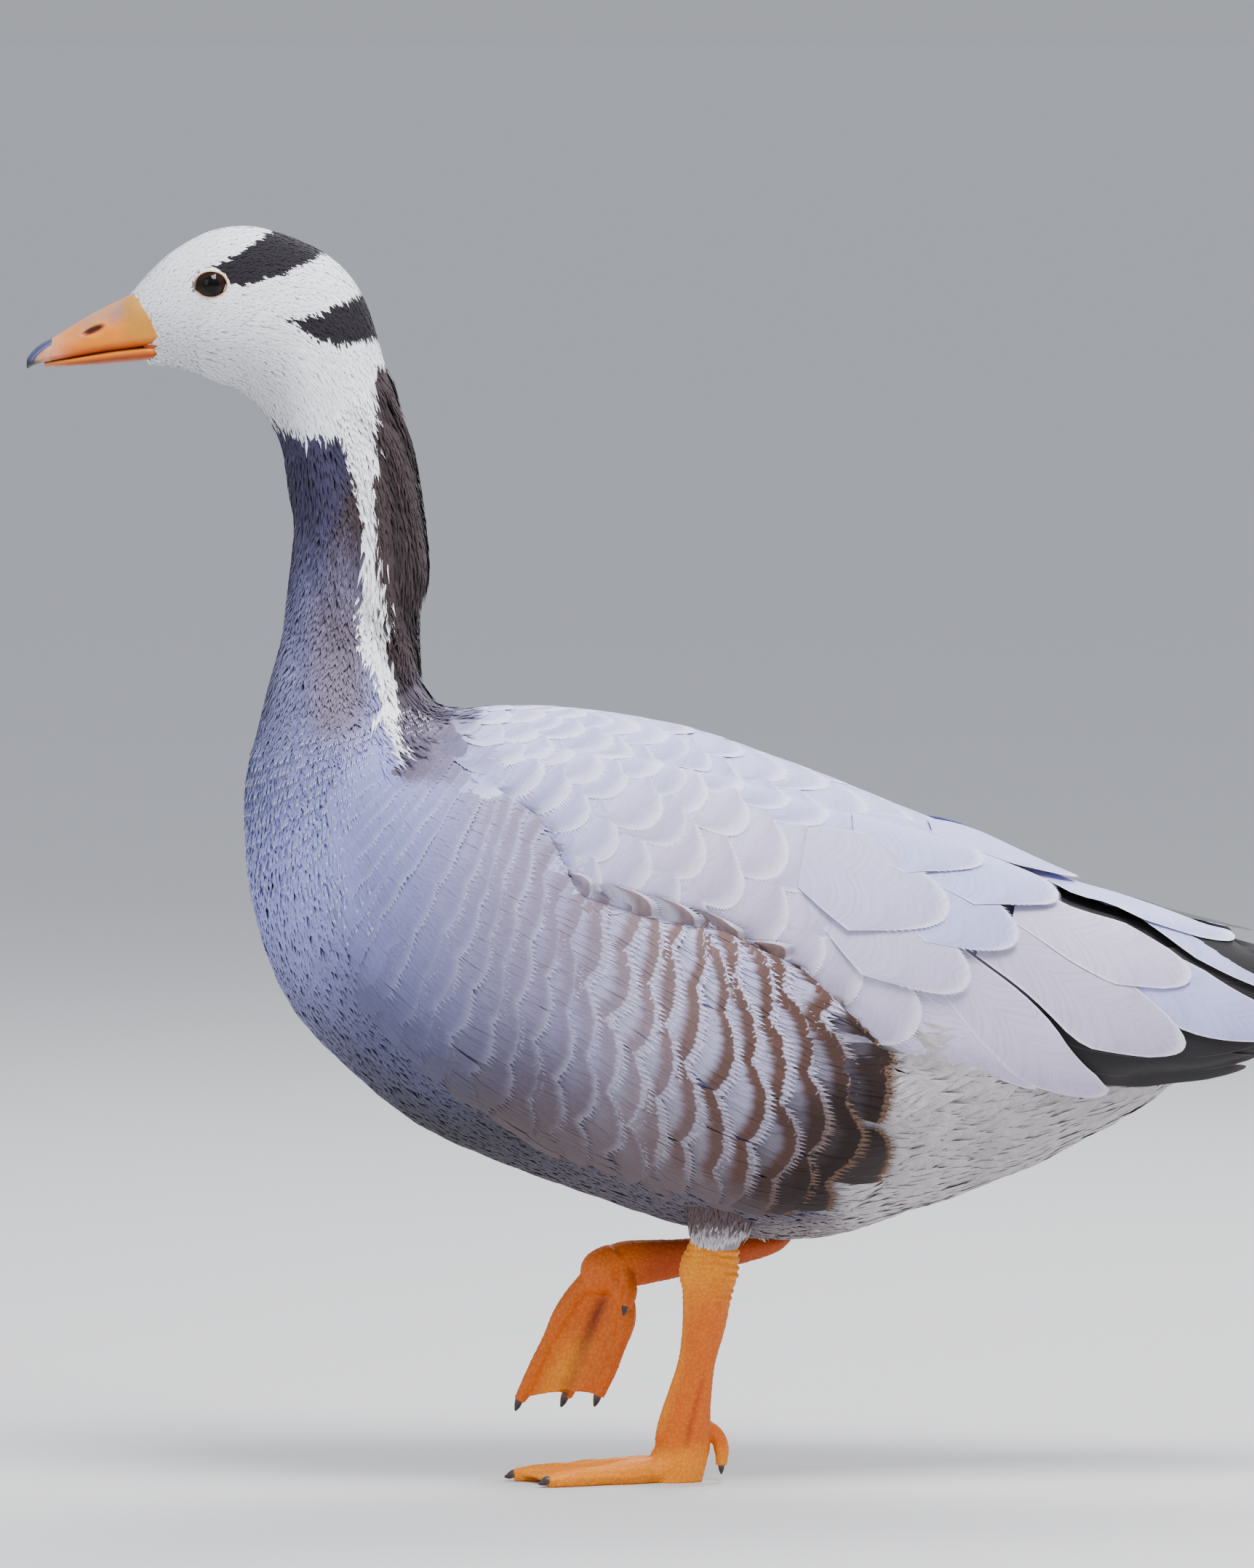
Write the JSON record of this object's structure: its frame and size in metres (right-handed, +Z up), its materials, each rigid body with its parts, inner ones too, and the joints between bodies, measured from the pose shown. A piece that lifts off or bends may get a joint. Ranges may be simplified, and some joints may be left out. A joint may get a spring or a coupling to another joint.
{
  "type": "bar-headed goose",
  "caption": "Life-size bar-headed goose in mid stride: one webbed foot flat on the floor, the other swinging folded under the belly, wings closed and neck upright.",
  "frame": {"origin": "on the floor, on the flat sole of the standing left foot, in the bird's middle plane and nearly under its centre of mass", "axes": "-X is where the bird faces, -Y its left side, +Z up"},
  "size_m": [0.5608, 0.1622, 0.519],
  "materials": {
    "plumage_grey": "soft lavender-grey contour feathers with pale edges",
    "plumage_white": "short dense white feathers",
    "plumage_dark": "brown-black feathers, furrowed on the hind neck",
    "bare_skin_orange": "scaled leathery skin and waxy bill sheath, satin",
    "claw_horn": "smooth dark horn",
    "eye_wet": "wet and glossy"
  },
  "bodies": {
    "root": {"bill_lower": "bare_skin_orange", "bill_nail": "claw_horn", "bill_upper": "bare_skin_orange", "claw_hind_left": "claw_horn", "claw_hind_right": "claw_horn", "claw_inner_left": "claw_horn", "claw_inner_right": "claw_horn", "claw_middle_left": "claw_horn", "claw_middle_right": "claw_horn", "claw_outer_left": "claw_horn", "claw_outer_right": "claw_horn", "eye_left": "eye_wet", "eye_right": "eye_wet", "flank_left": "plumage_grey", "flank_right": "plumage_grey", "foot_left": "bare_skin_orange", "foot_right": "bare_skin_orange", "head": "plumage_white", "hind_toe_left": "bare_skin_orange", "hind_toe_right": "bare_skin_orange", "neck_lower": "plumage_dark", "neck_upper": "plumage_dark", "primaries_left": "plumage_dark", "primaries_right": "plumage_dark", "shank_left": "bare_skin_orange", "shank_right": "bare_skin_orange", "tail": "plumage_grey", "thigh_left": "plumage_white", "thigh_right": "plumage_white", "trunk": "plumage_grey", "wing_left": "plumage_grey", "wing_right": "plumage_grey"}
  },
  "joints": []
}
